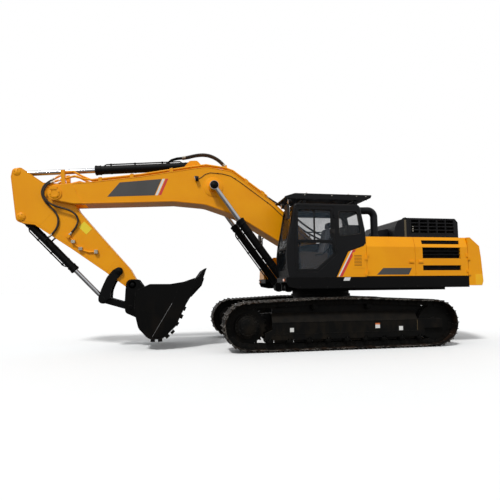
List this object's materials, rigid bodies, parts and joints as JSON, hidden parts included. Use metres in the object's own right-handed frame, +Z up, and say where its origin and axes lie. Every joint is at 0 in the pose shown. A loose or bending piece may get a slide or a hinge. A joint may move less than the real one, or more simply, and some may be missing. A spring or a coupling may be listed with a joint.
{
  "type": "crawler excavator",
  "caption": "Crawler excavator with a slewing house, an angled boom, a digging arm and a bucket on its linkage, with opening doors, hood and cab.",
  "frame": {"origin": "on the ground at the centre of the overall bounding box's base", "axes": "+X forward, the way the boom points, +Y to the machine's left, the cab's side, +Z up"},
  "size_m": [10.9743, 3.34, 4.6216],
  "materials": {
    "paint_orange": "gloss enamel",
    "paint_black": "satin enamel",
    "paint_grey": "satin enamel",
    "chrome_rod": "polished",
    "track_steel": "worn",
    "engine_iron": "cast",
    "cab_glazing": "tinted",
    "mirror_plastic": "matt",
    "hose_rubber": "matt",
    "seat_fabric": "woven"
  },
  "bodies": {
    "undercarriage": {"car_body": "paint_black", "slew_ring": "track_steel", "track_left": "track_steel", "track_right": "track_steel", "sprocket_left": "paint_black", "sprocket_right": "paint_black", "idler_left": "track_steel", "idler_right": "track_steel", "track_rollers_left": "track_steel", "track_rollers_right": "track_steel", "track_frame_left": "paint_black", "track_frame_right": "paint_black"},
    "house": {"house_frame": "paint_black", "counterweight": "paint_orange", "engine": "engine_iron", "hood_shell": "paint_grey", "cab_side_panel": "paint_orange", "fuel_tank": "paint_orange", "hydraulic_tank": "paint_orange", "tool_box": "paint_orange", "cab_shell": "paint_black", "cab_glass": "cab_glazing", "roof_guard": "paint_black", "seat": "seat_fabric", "intake_pipe": "paint_grey", "handrails": "paint_black", "mirrors": "mirror_plastic"},
    "boom": {"boom": "paint_orange", "boom_pipes": "paint_orange", "back_hose_left": "hose_rubber", "back_hose_right": "hose_rubber", "foot_hose_left": "hose_rubber", "foot_hose_right": "hose_rubber", "pipe_hose_left": "hose_rubber", "pipe_hose_right": "hose_rubber", "port_hose_left": "hose_rubber", "port_hose_right": "hose_rubber"},
    "arm": {"arm": "paint_orange", "arm_pipes": "paint_orange"},
    "bucket": {"bucket": "paint_black"},
    "boom_barrels": {"boom_cylinder_barrels": "paint_black"},
    "boom_rods": {"boom_cylinder_rods": "chrome_rod"},
    "arm_barrel": {"arm_cylinder_barrel": "paint_black"},
    "arm_rod": {"arm_cylinder_rod": "chrome_rod"},
    "bucket_barrel": {"bucket_cylinder_barrel": "paint_black"},
    "bucket_rod": {"bucket_cylinder_rod": "chrome_rod"},
    "rocker": {"rocker_links": "paint_black"},
    "bucket_link": {"bucket_link": "paint_black"},
    "cab_door": {"cab_door": "paint_black", "door_glass": "cab_glazing"},
    "left_door_front": {"left_door_front": "paint_orange"},
    "left_door_rear": {"left_door_rear": "paint_orange"},
    "pump_door": {"pump_door": "paint_orange"},
    "engine_hood": {"engine_hood": "paint_grey"}
  },
  "joints": [
    {"name": "slew", "type": "hinge", "parent": "undercarriage", "child": "house", "pos_m": [-1.745, 0, 1.24], "axis": [0, 0, 1], "continuous": true},
    {"name": "boom_lift", "type": "hinge", "parent": "house", "child": "boom", "pos_m": [-1.645, 0, 2], "axis": [0, -1, 0], "range_deg": [-38.8, 52.9], "deforming": ["foot_hose_left", "foot_hose_right"]},
    {"name": "arm_swing", "type": "hinge", "parent": "boom", "child": "arm", "pos_m": [4.515, 0, 3.477], "axis": [0, 1, 0], "range_deg": [-98, 14], "deforming": ["back_hose_left", "back_hose_right", "pipe_hose_left", "pipe_hose_right", "port_hose_left", "port_hose_right"]},
    {"name": "bucket_curl", "type": "hinge", "parent": "arm", "child": "bucket", "pos_m": [2.812, 0, 1.425], "axis": [0, -1, 0], "range_deg": [-72, 80]},
    {"name": "boom_barrels_tilt", "type": "hinge", "parent": "house", "child": "boom_barrels", "pos_m": [-0.795, 0, 1.32], "axis": [0, -1, 0], "range_deg": [-40, 55]},
    {"name": "boom_rods_slide", "type": "slide", "parent": "boom_barrels", "child": "boom_rods", "axis": [0.5895, 0, 0.8077], "range_m": [-0.7, 0.95]},
    {"name": "arm_barrel_tilt", "type": "hinge", "parent": "boom", "child": "arm_barrel", "pos_m": [1.431, 0, 4.302], "axis": [0, -1, 0], "range_deg": [-2, 10]},
    {"name": "arm_rod_slide", "type": "slide", "parent": "arm_barrel", "child": "arm_rod", "axis": [0.9964, 0, -0.085], "range_m": [-1.46, 0.22]},
    {"name": "bucket_barrel_tilt", "type": "hinge", "parent": "arm", "child": "bucket_barrel", "pos_m": [5.237, 0, 2.952], "axis": [0, -1, 0], "range_deg": [-5, 5]},
    {"name": "bucket_rod_slide", "type": "slide", "parent": "bucket_barrel", "child": "bucket_rod", "axis": [-0.6923, 0, -0.7216], "range_m": [-0.72, 0.7]},
    {"name": "rocker_turn", "type": "hinge", "parent": "arm", "child": "rocker", "pos_m": [3.112, 0, 1.739], "axis": [0, -1, 0], "range_deg": [-60, 62]},
    {"name": "link_turn", "type": "hinge", "parent": "bucket", "child": "bucket_link", "pos_m": [2.853, 0, 0.916], "axis": [0, -1, 0], "range_deg": [-60, 60]},
    {"name": "cab_door_hinge", "type": "hinge", "parent": "house", "child": "cab_door", "pos_m": [-1.58, 1.515, 2.5], "axis": [0, 0, 1], "range_deg": [0, 120]},
    {"name": "left_front_door_hinge", "type": "hinge", "parent": "house", "child": "left_door_front", "pos_m": [-2.315, 1.515, 1.85], "axis": [0, 0, -1], "range_deg": [0, 110]},
    {"name": "left_rear_door_hinge", "type": "hinge", "parent": "house", "child": "left_door_rear", "pos_m": [-4.809, 1.515, 1.85], "axis": [0, 0, 1], "range_deg": [0, 110]},
    {"name": "pump_door_hinge", "type": "hinge", "parent": "house", "child": "pump_door", "pos_m": [-4.809, -1.515, 1.85], "axis": [0, 0, -1], "range_deg": [0, 110]},
    {"name": "engine_hood_hinge", "type": "hinge", "parent": "house", "child": "engine_hood", "pos_m": [-4.987, 0, 2.469], "axis": [0, -1, 0], "range_deg": [0, 60]}
  ],
  "couplings": [
    {"joint": "boom_barrels_tilt", "follows": "boom_lift", "ratio": 0.95},
    {"joint": "boom_rods_slide", "follows": "boom_lift", "m_per_rad": 1},
    {"joint": "arm_barrel_tilt", "follows": "arm_swing", "ratio": -0.04},
    {"joint": "arm_rod_slide", "follows": "arm_swing", "m_per_rad": 0.84},
    {"joint": "bucket_barrel_tilt", "follows": "bucket_curl", "ratio": 0.026},
    {"joint": "bucket_rod_slide", "follows": "bucket_curl", "m_per_rad": -0.42},
    {"joint": "rocker_turn", "follows": "bucket_curl", "ratio": 0.62},
    {"joint": "link_turn", "follows": "bucket_curl", "ratio": -0.68}
  ]
}
